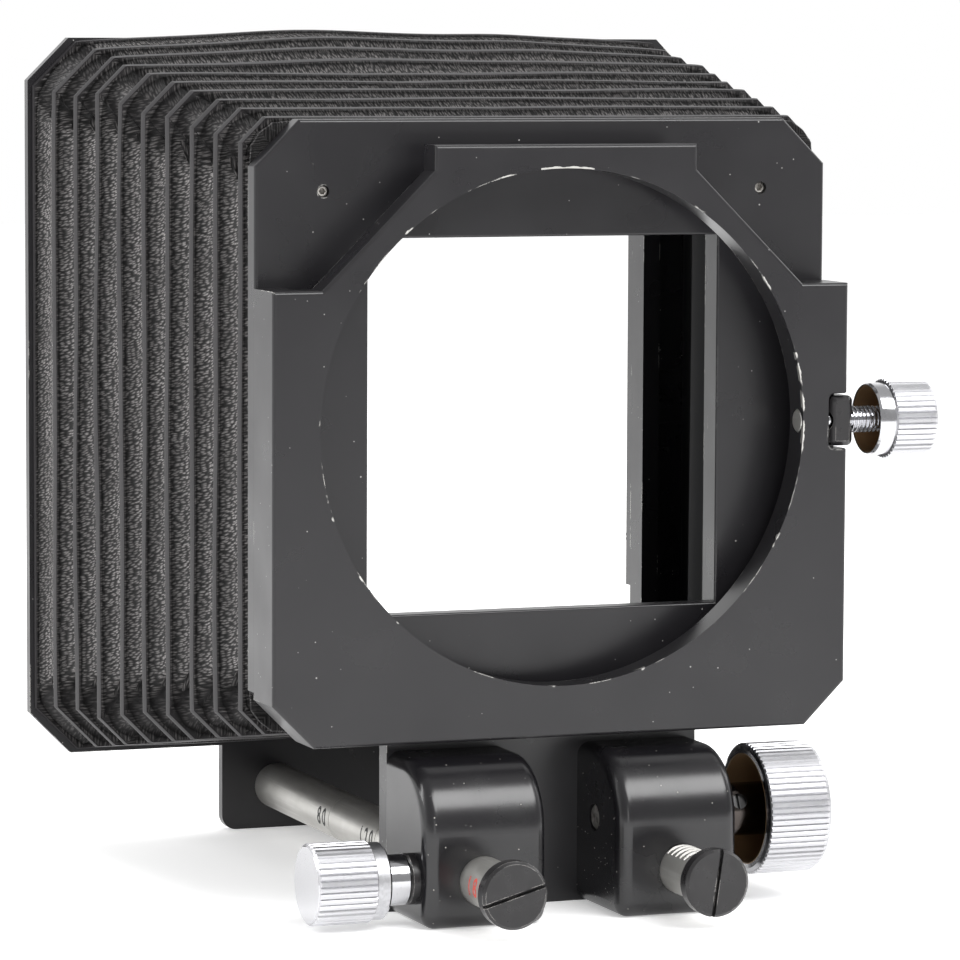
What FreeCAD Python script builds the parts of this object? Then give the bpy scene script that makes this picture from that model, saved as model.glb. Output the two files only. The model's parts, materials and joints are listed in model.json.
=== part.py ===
import FreeCAD, Part
import math
import os

# Bellows lens shade on twin rods, in millimetres.
# Origin: centre of the adapter bore on the front face of the ring plate.
# +X right, +Y away from the lens (towards the wide front frame), +Z up.

V = FreeCAD.Vector

# ---------------------------------------------------------------- lens standard
BORE_R = 47.5               # adapter bore, 95 mm
RING_T = 6.0                # ring plate thickness
SLOT_W = 5.1                # filter slot between ring plate and carrier, along Y
SLOT_HALF = 50.6            # takes 100 mm square filters
RING_HALF = 56.5            # half width of the ring plate
RING_BOTTOM = -57.0
RING_CUT = 8.0              # chamfer of the two lower corners
SHOULDER_Z = 25.8           # where the ring plate steps in
SHOULDER_X = 47.2
TAB_HALF = 25.7             # half width of the upper tab
TAB_LOW = 47.1
TAB_TOP = 51.8
EDGE_ROUND = 0.7            # rounding of the plates' visible edges
FINE_ROUND = 0.4            # of the window's edges and the front frame's back

CARRIER_T = 4.0
CARRIER_HALF = 56.3
CARRIER_CUT = 8.5
WINDOW_HALF = 34.6          # 69 mm square window
REAR_FRAME_T = 2.7
REAR_FRAME_HALF = 46.5
REAR_FRAME_WINDOW = 35.0
REAR_FRAME_CUT = 3.0

BASE_Z = -89.7              # the blocks and the front foot stand on this plane
TONGUE_HALF = 30.8

# ---------------------------------------------------------------- countersunk screws
# Sizes are (head radius, shank radius).
HEAD_GAP = 0.1              # each head lies this far below its recess's mouth
RING_SCREW = (2.5, 1.4)
RING_SCREW_X = 53.6
RING_SCREW_ZS = (-40.0, 15.0)
RING_SCREW_FOOT = (40.0, -53.8)
RING_SCREW_TIP = 6.7
COLLAR_SCREW = (1.9, 1.0)
COLLAR_SCREW_AT = 32.0
COLLAR_SCREW_L = 4.8
ROD_END_SCREW = (3.8, 2.0)
ROD_END_SCREW_L = 8.5

# ---------------------------------------------------------------- socket screws in the carrier plate
SOCKET_R = 1.15
SOCKET_AT = 43.25
SOCKET_DEPTH = 0.7          # the screws lie this deep in their holes
SOCKET_HEX_R = 0.65
SOCKET_BEVEL = 0.3

# ---------------------------------------------------------------- rods and blocks
ROD_X = 19.6
ROD_Z = -81.1
ROD_R = 4.6
ROD_FIT = 0.05              # radial running clearance
BLOCK_IN = 7.0              # inner side of each block, from the middle plane
BLOCK_FRONT = -10.0
BLOCK_TOP = -59.75
BLOCK_CURVE = 13.0          # radius of the quarter round at the top
BLOCK_ROUND = 2.6           # rounding of the other outer edges
CAP_R = 6.2
CAP_T = 3.0
CAP_Y = -26.2               # outer face of the rod caps
CAP_SLOT_W = 0.7
CAP_SLOT_DEPTH = 1.1
CAP_BEVEL = 0.5
CAP_SHANK_R = 2.5
CAP_SHANK_L = 7.5
TAP_SPARE = 0.5             # tapped holes are this much deeper than their screws
LEFT_SLOT_ANGLE = -16.0
RIGHT_SLOT_ANGLE = 98.0
BLOCK_SCREW_R = 2.0
BLOCK_SCREW_TIP = 3.0
BLOCK_HEAD_R = 3.3
BLOCK_HEAD_T = 1.8
SCALE_RINGS = [9.5, 36.5, 63.5]     # ring marks on the scale rod, along Y
SCALE_MARK = 0.12           # half width and depth of each mark

# ---------------------------------------------------------------- front standard
FRONT_Y = 109.4             # back face of the front plate
FRONT_T = 2.6
FRONT_HALF = 71.4
FRONT_CUT = 8.4
FRONT_WINDOW = 58.0
FRONT_NOTCH_Z = -42.0       # mask notches open below this height
FRONT_NOTCH = 2.6
FRONT_DROP = 0.9            # the wide frame's middle lies this far below the bore's
COLLAR_LENGTH = 6.2
COLLAR_HALF = 61.6
COLLAR_CUT = 3.0
FOOT_HALF = 31.2
FOOT_ROUND = 3.0
FOOT_TOP = -65.0

# ---------------------------------------------------------------- bellows
BELLOWS_REAR_HALF = 56.0
BELLOWS_FRONT_HALF = 70.5
BELLOWS_DEPTH = 7.6         # from rib to fold
BELLOWS_CUT_REAR = 8.5
BELLOWS_CUT_FRONT = 9.5
BELLOWS_INNER_CUT = 3.0
SOFT_GAP = 0.3

# ---------------------------------------------------------------- rack and pinion
MODULE = 0.6
PINION_TEETH = 15
PRESSURE = math.radians(20)
BACKLASH = 0.10             # taken off each tooth
PINION_Y = 2.6
PINION_R = MODULE * PINION_TEETH / 2
PITCH_Z = ROD_Z + ROD_R - 0.65
PINION_Z = PITCH_Z + PINION_R
PITCH = math.pi * MODULE
RACK_START = -21.0
RACK_END = 86.0
SHAFT_R = 2.5
SHAFT_DEPTH = 0.3           # the shaft ends this deep in the right block's inner side
POCKET_R = 5.5
GEAR_X0 = 15.0
GEAR_X1 = 24.0
POCKET_X0 = 14.6
POCKET_X1 = 24.6

# ---------------------------------------------------------------- knobs and screws
FOCUS_R = 12.3
FOCUS_X0 = 37.3
FOCUS_X1 = 50.3
FOCUS_RIBS = 66
RIB_DEPTH = 0.35            # of the ribs round each knob
RIB_SHARE = 0.24            # half a rib's flat top, as a share of the rib spacing
HUB_R = 5.0
HUB_X0 = 31.3
FOCUS_HOLLOW_R = 10.2
FOCUS_FLOOR_X = 45.8        # floor of the knob's hollow
SHAFT_END_X = 46.0
SET_SCREW_X = 34.4
SET_SCREW_R = 1.5
SET_SCREW_TURN = 27.0       # degrees above the front

LOCK_Y = -3.0
LOCK_Z = ROD_Z
LOCK_R = 7.5
LOCK_X = -51.1              # outer face of the lock knob
LOCK_RIBS = 40
LOCK_SCREW_R = 3.0
LOCK_SCREW_END = -45.0      # where the screw ends inside the knob
LOCK_COLLAR_R = 7.05        # smooth rim beside the ribs
LOCK_NECK_R = 4.65          # screw's shoulder between knob and bush
LOCK_BUSH_R = 4.7
LOCK_PAD_R = 2.55
LOCK_PAD_L = 2.7
LOCK_PAD_BEVEL = 0.4
TIP_GAP = 0.05              # between a screw's tip and the pad it pushes
LOCK_GAP = 0.3              # pad to rod at rest

CLAMP_Y = 3.0
CLAMP_R = 7.45
CLAMP_COLLAR_R = 6.8        # smooth rim below the ribs
CLAMP_HOLLOW_R = 6.35
CLAMP_X0 = 61.8
CLAMP_X1 = 73.6
CLAMP_KNURL_X = 64.8
CLAMP_RIBS = 42
CLAMP_SCREW_R = 2.5         # M5
CLAMP_PITCH = 0.8
CLAMP_CORE_R = 2.05         # root of its thread
CLAMP_FLOOR_X = 69.0        # floor of the knob's hollow
CLAMP_END_X = 70.5          # the screw ends inside the knob
CLAMP_HOLE_R = 2.3
CLAMP_PAD_R = 2.25
CLAMP_PAD_X1 = 49.5
CLAMP_POINT_R = 2.0
CLAMP_THREAD_X = 55.4
NUT_X0 = 53.3
NUT_X1 = 57.9
NUT_HALF = 4.7
NUT_GAP = 0.45
NUT_Y0 = 0.1                # front face of the nut
NUT_ROUND = 1.1
NUT_BEVEL = 0.9
NOTCH_BEVEL = 0.25          # edge of the recess the nut sits in

CARRIER_Y = RING_T + SLOT_W
CARRIER_BACK = CARRIER_Y + CARRIER_T


# ================================================================ helpers
def save(name, shape):
    """Write one node and say how big it is."""
    if not shape.isValid():
        raise ValueError(name + " is not a valid solid")
    shape.exportStep("parts/" + name + ".step")
    print(name, len(shape.Solids), round(shape.Volume, 1))


def box(x0, x1, y0, y1, z0, z1):
    return Part.makeBox(x1 - x0, y1 - y0, z1 - z0, V(x0, y0, z0))


def rod_along_x(radius, x0, x1, y, z):
    return Part.makeCylinder(radius, x1 - x0, V(x0, y, z), V(1, 0, 0))


def rod_along_y(radius, y0, y1, x, z):
    return Part.makeCylinder(radius, y1 - y0, V(x, y0, z), V(0, 1, 0))


def outline(points, y):
    """Closed wire through (x, z) points at depth y."""
    corners = [V(x, y, z) for x, z in points]
    return Part.makePolygon(corners + corners[:1])


def plate(points, y0, y1):
    return Part.Face(outline(points, y0)).extrude(V(0, y1 - y0, 0))


def octagon(half, cut, drop=0):
    """Square of the given half width with its corners cut off; drop lowers its middle."""
    low = half - cut
    corners = [(-low, -half), (low, -half), (half, -low), (half, low),
               (low, half), (-low, half), (-half, low), (-half, -low)]
    return [(x, z - drop) for x, z in corners]


def mirror_x(shape):
    return shape.mirror(V(0, 0, 0), V(1, 0, 0))


def join(shapes):
    """Fuse shapes that touch into one clean solid."""
    return shapes[0].fuse(shapes[1:]).removeSplitter()


def group(shapes):
    """Separate identical solids that share one node."""
    return Part.makeCompound(shapes)


def round_edges(shape, radius, wanted):
    edges = [edge for edge in shape.Edges if wanted(edge)]
    return shape.makeFillet(radius, edges)


def lies_on_y(edge, y):
    box_ = edge.BoundBox
    return abs(box_.YMin - y) < 0.01 and abs(box_.YMax - y) < 0.01


def turned_x(profile, y, z):
    """Solid of revolution about a line along X, from (x, radius) points."""
    corners = [V(x, y, z + radius) for x, radius in profile]
    face = Part.Face(Part.makePolygon(corners + corners[:1]))
    return face.revolve(V(0, y, z), V(1, 0, 0), 360)


def turned_y(profile, x, z):
    """Solid of revolution about a line along Y, from (y, radius) points."""
    corners = [V(x, y, z + radius) for y, radius in profile]
    face = Part.Face(Part.makePolygon(corners + corners[:1]))
    return face.revolve(V(x, 0, z), V(0, 1, 0), 360)


def knurl(radius, depth, ribs, x0, x1, y, z):
    """Prism along X with straight ribs round it."""
    corners = []
    step = 2 * math.pi / ribs
    for i in range(ribs):
        for part, r in ((-RIB_SHARE, radius), (RIB_SHARE, radius), (0.5, radius - depth)):
            angle = (i + part) * step
            corners.append(V(x0, y + r * math.cos(angle), z + r * math.sin(angle)))
    wire = Part.makePolygon(corners + corners[:1])
    return Part.Face(wire).extrude(V(x1 - x0, 0, 0))


def countersunk(size, mouth_y, tip_y, x, z):
    """Flat-headed slotted screw along Y for the recess whose mouth is at mouth_y."""
    head_r, shank_r = size
    into = 1 if tip_y > mouth_y else -1
    head_y = mouth_y + into * HEAD_GAP
    neck_y = head_y + into * (head_r - shank_r)
    profile = [(head_y, 0), (head_y, head_r), (neck_y, shank_r), (tip_y, shank_r), (tip_y, 0)]
    screw = turned_y(profile, x, z)
    slot_y = sorted((head_y - into, head_y + into * 0.25 * head_r))
    slot = box(x - head_r, x + head_r, slot_y[0], slot_y[1], z - 0.12 * head_r, z + 0.12 * head_r)
    return screw.cut(slot)


def recess(size, mouth_y, far_y, x, z):
    """Cutter for a countersunk screw's hole, wide at mouth_y and open beyond it."""
    head_r = size[0] + HEAD_GAP
    shank_r = size[1]
    into = 1 if far_y > mouth_y else -1
    neck_y = mouth_y + into * (head_r - shank_r)
    outside_y = mouth_y - into
    profile = [(outside_y, 0), (outside_y, head_r), (mouth_y, head_r), (neck_y, shank_r),
               (far_y, shank_r), (far_y, 0)]
    return turned_y(profile, x, z)


# ================================================================ lens standard
def ring_outline():
    return [(-RING_HALF + RING_CUT, RING_BOTTOM), (RING_HALF - RING_CUT, RING_BOTTOM),
            (RING_HALF, RING_BOTTOM + RING_CUT), (RING_HALF, SHOULDER_Z),
            (SHOULDER_X, SHOULDER_Z), (TAB_HALF, TAB_LOW), (TAB_HALF, TAB_TOP),
            (-TAB_HALF, TAB_TOP), (-TAB_HALF, TAB_LOW), (-SHOULDER_X, SHOULDER_Z),
            (-RING_HALF, SHOULDER_Z), (-RING_HALF, RING_BOTTOM + RING_CUT)]


RING_SCREWS = [(side * RING_SCREW_X, z) for side in (-1, 1) for z in RING_SCREW_ZS]
RING_SCREWS += [(side * RING_SCREW_FOOT[0], RING_SCREW_FOOT[1]) for side in (-1, 1)]
CARRIER_SCREWS = [(x * SOCKET_AT, z * SOCKET_AT) for x in (-1, 1) for z in (-1, 1)]
BLOCK_SCREWS = [(10.8, -64.0), (27.0, -64.0), (10.8, -85.5)]


def make_ring_plate():
    solid = plate(ring_outline(), 0, CARRIER_Y)
    solid = solid.cut(box(-SLOT_HALF, SLOT_HALF, RING_T, CARRIER_Y, -SLOT_HALF, TAB_TOP + 5))
    solid = round_edges(solid, EDGE_ROUND, lambda edge: lies_on_y(edge, 0))
    bore = rod_along_y(BORE_R, -1, RING_T + 1, 0, 0)
    half = NUT_HALF + NUT_GAP
    notch = box(NUT_X0 - NUT_GAP, RING_HALF + 1, -1, RING_T, -half, half)
    notch = round_edges(notch, NUT_ROUND, lambda edge: edge.BoundBox.XMax < NUT_X0
                        and edge.BoundBox.ZMax - edge.BoundBox.ZMin < 0.01)
    tip_hole = rod_along_x(CLAMP_HOLE_R, BORE_R - 2, NUT_X0, CLAMP_Y, 0)
    solid = solid.cut(bore).cut(notch).cut(tip_hole)
    notch_edges = [edge for edge in solid.Edges if lies_on_y(edge, 0)
                   and edge.BoundBox.XMin > NUT_X0 - NUT_GAP - 0.01
                   and edge.BoundBox.XMax < RING_HALF - EDGE_ROUND + 0.01
                   and abs(edge.BoundBox.ZMax) < half + 0.01]
    solid = solid.makeChamfer(NOTCH_BEVEL, notch_edges)
    for x, z in RING_SCREWS:
        solid = solid.cut(rod_along_y(RING_SCREW[1], RING_SCREW_TIP - 0.2, CARRIER_Y + 1, x, z))
    return solid


def make_carrier():
    body = plate(octagon(CARRIER_HALF, CARRIER_CUT), CARRIER_Y, CARRIER_BACK)
    tongue = box(-TONGUE_HALF, TONGUE_HALF, CARRIER_Y, CARRIER_BACK, BASE_Z, -50)
    body = join([body, tongue])
    body = round_edges(body, EDGE_ROUND, lambda edge: lies_on_y(edge, CARRIER_Y) and edge.BoundBox.ZMax > -50)
    window = box(-WINDOW_HALF, WINDOW_HALF, CARRIER_Y - 1, CARRIER_BACK + 1, -WINDOW_HALF, WINDOW_HALF)
    body = body.cut(window)
    body = round_edges(body, FINE_ROUND, lambda edge: lies_on_y(edge, CARRIER_Y)
                       and abs(edge.BoundBox.XMin) < WINDOW_HALF + 0.1
                       and abs(edge.BoundBox.XMax) < WINDOW_HALF + 0.1
                       and abs(edge.BoundBox.ZMin) < WINDOW_HALF + 0.1)
    for x, z in CARRIER_SCREWS:
        body = body.cut(rod_along_y(SOCKET_R, CARRIER_Y - 1, CARRIER_BACK + 1, x, z))
    for x, z in RING_SCREWS:
        body = body.cut(recess(RING_SCREW, CARRIER_BACK, CARRIER_Y - 1, x, z))
    for side in (-1, 1):
        body = body.cut(rod_along_y(ROD_R + 0.4, CARRIER_Y - 1, CARRIER_BACK + 1, side * ROD_X, ROD_Z))
        for x, z in BLOCK_SCREWS:
            body = body.cut(rod_along_y(BLOCK_SCREW_R, CARRIER_Y - 1, CARRIER_BACK + 1, side * x, z))
    return body


def make_carrier_screws():
    """Headless screws with a hexagon socket, sunk in the plate and tapped into the frame behind it."""
    face = CARRIER_Y + SOCKET_DEPTH
    tip = CARRIER_BACK + REAR_FRAME_T
    hexagon = [(SOCKET_HEX_R * math.cos(math.radians(60 * i)), SOCKET_HEX_R * math.sin(math.radians(60 * i)))
               for i in range(6)]
    screws = []
    for x, z in CARRIER_SCREWS:
        screw = turned_y([(face, 0), (face, SOCKET_R - SOCKET_BEVEL), (face + SOCKET_BEVEL, SOCKET_R),
                          (tip, SOCKET_R), (tip, 0)], x, z)
        socket = plate([(x + dx, z + dz) for dx, dz in hexagon], face - 1, face + 1)
        screws.append(screw.cut(socket))
    return group(screws)


def make_ring_screws():
    return group([countersunk(RING_SCREW, CARRIER_BACK, RING_SCREW_TIP, x, z) for x, z in RING_SCREWS])


def make_rear_frame():
    y1 = CARRIER_BACK + REAR_FRAME_T
    frame = plate(octagon(REAR_FRAME_HALF, REAR_FRAME_CUT), CARRIER_BACK, y1)
    w = REAR_FRAME_WINDOW
    frame = frame.cut(box(-w, w, CARRIER_BACK - 1, y1 + 1, -w, w))
    for x, z in CARRIER_SCREWS:
        frame = frame.cut(rod_along_y(SOCKET_R, CARRIER_BACK - 1, y1 + 1, x, z))
    return frame


def block_blank():
    """Right-hand guide block before its holes: flat front, quarter round on top."""
    curve_y = BLOCK_FRONT + BLOCK_CURVE
    curve_z = BLOCK_TOP - BLOCK_CURVE
    mid = BLOCK_CURVE * math.sqrt(0.5)
    x = BLOCK_IN
    low_front = V(x, BLOCK_FRONT, BASE_Z)
    low_back = V(x, CARRIER_Y, BASE_Z)
    top_back = V(x, CARRIER_Y, BLOCK_TOP)
    top_curve = V(x, curve_y, BLOCK_TOP)
    curve_mid = V(x, curve_y - mid, curve_z + mid)
    front_curve = V(x, BLOCK_FRONT, curve_z)
    edges = [Part.LineSegment(low_front, low_back).toShape(),
             Part.LineSegment(low_back, top_back).toShape(),
             Part.LineSegment(top_back, top_curve).toShape(),
             Part.Arc(top_curve, curve_mid, front_curve).toShape(),
             Part.LineSegment(front_curve, low_front).toShape()]
    blank = Part.Face(Part.Wire(edges)).extrude(V(TONGUE_HALF - BLOCK_IN, 0, 0))

    def outer_edge(edge):
        b = edge.BoundBox
        on_a_side = b.XMax - b.XMin < 0.01 and b.YMin < CARRIER_Y - 0.1
        at_front_foot = b.ZMax < BASE_Z + 0.01 and b.YMax < BLOCK_FRONT + 0.01
        return on_a_side or at_front_foot

    return round_edges(blank, BLOCK_ROUND, outer_edge)


def block_common_holes(block, side):
    block = block.cut(rod_along_y(ROD_R + ROD_FIT, BLOCK_FRONT - 1, CARRIER_Y + 1, side * ROD_X, ROD_Z))
    for x, z in BLOCK_SCREWS:
        block = block.cut(rod_along_y(BLOCK_SCREW_R, BLOCK_SCREW_TIP - 0.2, CARRIER_Y + 1, side * x, z))
    return block


def make_right_block():
    block = block_common_holes(block_blank(), 1)
    block = block.cut(rod_along_x(SHAFT_R + ROD_FIT, BLOCK_IN - 1, POCKET_X1, PINION_Y, PINION_Z))
    return block.cut(rod_along_x(POCKET_R, POCKET_X0, TONGUE_HALF + 1, PINION_Y, PINION_Z))


LOCK_BUSH_X0 = -32.4        # proud of the block's side
LOCK_BUSH_X1 = -26.6
LOCK_PAD_TIP = -ROD_X - ROD_R - LOCK_GAP
LOCK_PAD_X0 = LOCK_PAD_TIP - LOCK_PAD_L


def make_left_block():
    block = block_common_holes(mirror_x(block_blank()), -1)
    block = block.cut(rod_along_x(LOCK_BUSH_R, -TONGUE_HALF - 1, LOCK_BUSH_X1, LOCK_Y, LOCK_Z))
    return block.cut(rod_along_x(LOCK_PAD_R + ROD_FIT, LOCK_BUSH_X1 - 1, -ROD_X, LOCK_Y, LOCK_Z))


def make_block_screws():
    """Pan-headed screws through the tongue into both blocks."""
    top = CARRIER_BACK + BLOCK_HEAD_T
    profile = [(BLOCK_SCREW_TIP, 0), (BLOCK_SCREW_TIP, BLOCK_SCREW_R), (CARRIER_BACK, BLOCK_SCREW_R),
               (CARRIER_BACK, BLOCK_HEAD_R), (top - 0.6, BLOCK_HEAD_R), (top, BLOCK_HEAD_R - 0.7), (top, 0)]
    screws = []
    for side in (-1, 1):
        for x, z in BLOCK_SCREWS:
            slot = box(side * x - 4, side * x + 4, top - 0.9, top + 1, z - 0.4, z + 0.4)
            screws.append(turned_y(profile, side * x, z).cut(slot))
    return group(screws)


# ================================================================ lock screw
def make_lock_bush():
    return turned_x([(LOCK_BUSH_X0, LOCK_SCREW_R + ROD_FIT), (LOCK_BUSH_X0, LOCK_BUSH_R - 0.3),
                     (LOCK_BUSH_X0 + 0.3, LOCK_BUSH_R), (LOCK_BUSH_X1, LOCK_BUSH_R),
                     (LOCK_BUSH_X1, LOCK_SCREW_R + ROD_FIT)], LOCK_Y, LOCK_Z)


def make_lock_pad():
    bevel = LOCK_PAD_BEVEL
    return turned_x([(LOCK_PAD_X0, 0), (LOCK_PAD_X0, LOCK_PAD_R), (LOCK_PAD_TIP - bevel, LOCK_PAD_R),
                     (LOCK_PAD_TIP, LOCK_PAD_R - bevel), (LOCK_PAD_TIP, 0)], LOCK_Y, LOCK_Z)


LOCK_NECK_X = LOCK_BUSH_X0 - 0.4
LOCK_COLLAR_X = -37.0
LOCK_KNURL_X = -39.7


def make_lock_screw():
    """Screw with a shoulder that touches the knob; its tip stays just short of the pad."""
    tip = LOCK_PAD_X0 - TIP_GAP
    return turned_x([(LOCK_SCREW_END, 0), (LOCK_SCREW_END, LOCK_SCREW_R), (LOCK_COLLAR_X, LOCK_SCREW_R),
                     (LOCK_COLLAR_X, LOCK_NECK_R), (LOCK_NECK_X, LOCK_NECK_R), (LOCK_NECK_X, LOCK_SCREW_R),
                     (tip - 0.3, LOCK_SCREW_R), (tip, LOCK_SCREW_R - 0.3), (tip, 0)], LOCK_Y, LOCK_Z)


def make_lock_knob():
    body = turned_x([(LOCK_X, 0), (LOCK_X, LOCK_R - 0.6), (LOCK_X + 0.5, LOCK_R),
                     (LOCK_KNURL_X - 0.3, LOCK_R), (LOCK_KNURL_X, LOCK_R - 0.5), (LOCK_KNURL_X, 0)],
                    LOCK_Y, LOCK_Z)
    body = body.common(knurl(LOCK_R, RIB_DEPTH, LOCK_RIBS, LOCK_X, LOCK_KNURL_X, LOCK_Y, LOCK_Z))
    collar = turned_x([(LOCK_KNURL_X, 0), (LOCK_KNURL_X, LOCK_COLLAR_R), (LOCK_COLLAR_X - 0.4, LOCK_COLLAR_R),
                       (LOCK_COLLAR_X, LOCK_COLLAR_R - 0.4), (LOCK_COLLAR_X, 0)], LOCK_Y, LOCK_Z)
    knob = join([body, collar])
    return knob.cut(rod_along_x(LOCK_SCREW_R, LOCK_SCREW_END, LOCK_COLLAR_X + 1, LOCK_Y, LOCK_Z))


# ================================================================ clamp screw
def make_clamp_nut():
    nut = box(NUT_X0, NUT_X1, NUT_Y0, RING_T - 0.3, -NUT_HALF, NUT_HALF)
    nut = round_edges(nut, NUT_ROUND, lambda edge: edge.BoundBox.YMax - edge.BoundBox.YMin > 1)
    nut = nut.makeChamfer(NUT_BEVEL, [edge for edge in nut.Edges if lies_on_y(edge, NUT_Y0)])
    return nut.cut(rod_along_x(CLAMP_SCREW_R + ROD_FIT, NUT_X0 - 1, NUT_X1 + 1, CLAMP_Y, 0))


def make_clamp_pad():
    return turned_x([(BORE_R, 0), (BORE_R, CLAMP_PAD_R - 0.3), (BORE_R + 0.3, CLAMP_PAD_R),
                     (CLAMP_PAD_X1, CLAMP_PAD_R), (CLAMP_PAD_X1, 0)], CLAMP_Y, 0)


def make_clamp_screw():
    """Dog point in the plate, then a threaded shank up into the hollow knob."""
    start = CLAMP_PAD_X1 + TIP_GAP
    x = CLAMP_THREAD_X
    profile = [(start, 0), (start, CLAMP_POINT_R), (x, CLAMP_POINT_R)]
    while x < CLAMP_FLOOR_X - CLAMP_PITCH:
        profile += [(x + 0.1, CLAMP_CORE_R), (x + 0.4, CLAMP_SCREW_R), (x + 0.5, CLAMP_SCREW_R)]
        x += CLAMP_PITCH
    profile += [(x + 0.2, CLAMP_CORE_R), (CLAMP_END_X, CLAMP_CORE_R), (CLAMP_END_X, 0)]
    return turned_x(profile, CLAMP_Y, 0)


def make_clamp_knob():
    body = turned_x([(CLAMP_KNURL_X, 0), (CLAMP_KNURL_X, CLAMP_COLLAR_R), (CLAMP_KNURL_X + 0.3, CLAMP_R),
                     (CLAMP_X1 - 0.9, CLAMP_R), (CLAMP_X1 - 0.3, CLAMP_R - 0.35), (CLAMP_X1, CLAMP_R - 1.1),
                     (CLAMP_X1, 0)], CLAMP_Y, 0)
    body = body.common(knurl(CLAMP_R, RIB_DEPTH, CLAMP_RIBS, CLAMP_KNURL_X, CLAMP_X1, CLAMP_Y, 0))
    collar = turned_x([(CLAMP_X0, 0), (CLAMP_X0, CLAMP_COLLAR_R - 0.25), (CLAMP_X0 + 0.4, CLAMP_COLLAR_R),
                       (CLAMP_KNURL_X, CLAMP_COLLAR_R), (CLAMP_KNURL_X, 0)], CLAMP_Y, 0)
    knob = join([body, collar])
    hollow = turned_x([(CLAMP_X0 - 1, 0), (CLAMP_X0 - 1, CLAMP_HOLLOW_R), (CLAMP_FLOOR_X - 1, CLAMP_HOLLOW_R),
                       (CLAMP_FLOOR_X, CLAMP_HOLLOW_R - 1), (CLAMP_FLOOR_X, 0)], CLAMP_Y, 0)
    return knob.cut(hollow).cut(rod_along_x(CLAMP_CORE_R, CLAMP_FLOOR_X - 1, CLAMP_END_X, CLAMP_Y, 0))


# ================================================================ focus drive
def make_pinion_gear():
    """Involute pinion with thinned teeth; one tooth points straight down."""
    base_r = PINION_R * math.cos(PRESSURE)
    tip_r = PINION_R + MODULE
    root_r = PINION_R - 1.25 * MODULE
    half_at_pitch = (PITCH / 2 - BACKLASH) / 2 / PINION_R
    spread = half_at_pitch + math.tan(PRESSURE) - PRESSURE
    flank = []
    steps = 5
    for i in range(steps + 1):
        r = base_r + (tip_r - base_r) * i / steps
        roll = math.acos(base_r / r)
        flank.append((r, spread - (math.tan(roll) - roll)))
    corners = []
    for tooth in range(PINION_TEETH):
        centre = -math.pi / 2 + tooth * 2 * math.pi / PINION_TEETH
        side = [(root_r, flank[0][1])] + flank
        polar = [(r, centre - a) for r, a in side] + [(r, centre + a) for r, a in reversed(side)]
        for r, angle in polar:
            corners.append(V(GEAR_X0, PINION_Y + r * math.cos(angle), PINION_Z + r * math.sin(angle)))
    wire = Part.makePolygon(corners + corners[:1])
    gear = Part.Face(wire).extrude(V(GEAR_X1 - GEAR_X0, 0, 0))
    return gear.cut(rod_along_x(SHAFT_R, GEAR_X0 - 1, GEAR_X1 + 1, PINION_Y, PINION_Z))


def make_pinion_shaft():
    x0 = BLOCK_IN + SHAFT_DEPTH
    return turned_x([(x0, 0), (x0, SHAFT_R - 0.4), (x0 + 0.4, SHAFT_R), (SHAFT_END_X, SHAFT_R),
                     (SHAFT_END_X, 0)], PINION_Y, PINION_Z)


def make_pinion_bush():
    return turned_x([(POCKET_X1, SHAFT_R + ROD_FIT), (POCKET_X1, POCKET_R), (TONGUE_HALF - 0.1, POCKET_R),
                     (TONGUE_HALF - 0.1, SHAFT_R + ROD_FIT)], PINION_Y, PINION_Z)


def turn_to_set_screw(shape):
    """Turn a shape made facing the front about the pinion's axis, to the set screw's place."""
    shape.rotate(V(0, PINION_Y, PINION_Z), V(1, 0, 0), -SET_SCREW_TURN)
    return shape


def make_focus_knob():
    body = turned_x([(FOCUS_X0, 0), (FOCUS_X0, FOCUS_R - 1.1), (FOCUS_X0 + 0.5, FOCUS_R),
                     (FOCUS_X1 - 1.3, FOCUS_R), (FOCUS_X1 - 0.4, FOCUS_R - 0.5), (FOCUS_X1, FOCUS_R - 1.4),
                     (FOCUS_X1, 0)], PINION_Y, PINION_Z)
    body = body.common(knurl(FOCUS_R, RIB_DEPTH, FOCUS_RIBS, FOCUS_X0, FOCUS_X1, PINION_Y, PINION_Z))
    hollow = turned_x([(FOCUS_X0 - 1, 0), (FOCUS_X0 - 1, FOCUS_HOLLOW_R), (FOCUS_FLOOR_X - 1, FOCUS_HOLLOW_R),
                       (FOCUS_FLOOR_X, FOCUS_HOLLOW_R - 1), (FOCUS_FLOOR_X, 0)], PINION_Y, PINION_Z)
    hub = turned_x([(HUB_X0, 0), (HUB_X0, HUB_R - 0.4), (HUB_X0 + 0.4, HUB_R), (SHAFT_END_X, HUB_R),
                    (SHAFT_END_X, 0)], PINION_Y, PINION_Z)
    knob = join([body.cut(hollow), hub])
    knob = knob.cut(rod_along_x(SHAFT_R, HUB_X0 - 1, SHAFT_END_X, PINION_Y, PINION_Z))
    hole = rod_along_y(SET_SCREW_R, PINION_Y - HUB_R - 1, PINION_Y, SET_SCREW_X, PINION_Z)
    return knob.cut(turn_to_set_screw(hole))


def make_focus_set_screw():
    """Slotted grub screw that bears on the pinion shaft."""
    seat_y = PINION_Y - SHAFT_R + 0.05
    screw = rod_along_y(SET_SCREW_R, seat_y - 1.7, seat_y, SET_SCREW_X, PINION_Z)
    screw = screw.cut(rod_along_x(SHAFT_R, SET_SCREW_X - 3, SET_SCREW_X + 3, PINION_Y, PINION_Z))
    slot = box(SET_SCREW_X - 0.25, SET_SCREW_X + 0.25, seat_y - 3, seat_y - 1.1, PINION_Z - 2, PINION_Z + 2)
    return turn_to_set_screw(screw.cut(slot))


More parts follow.
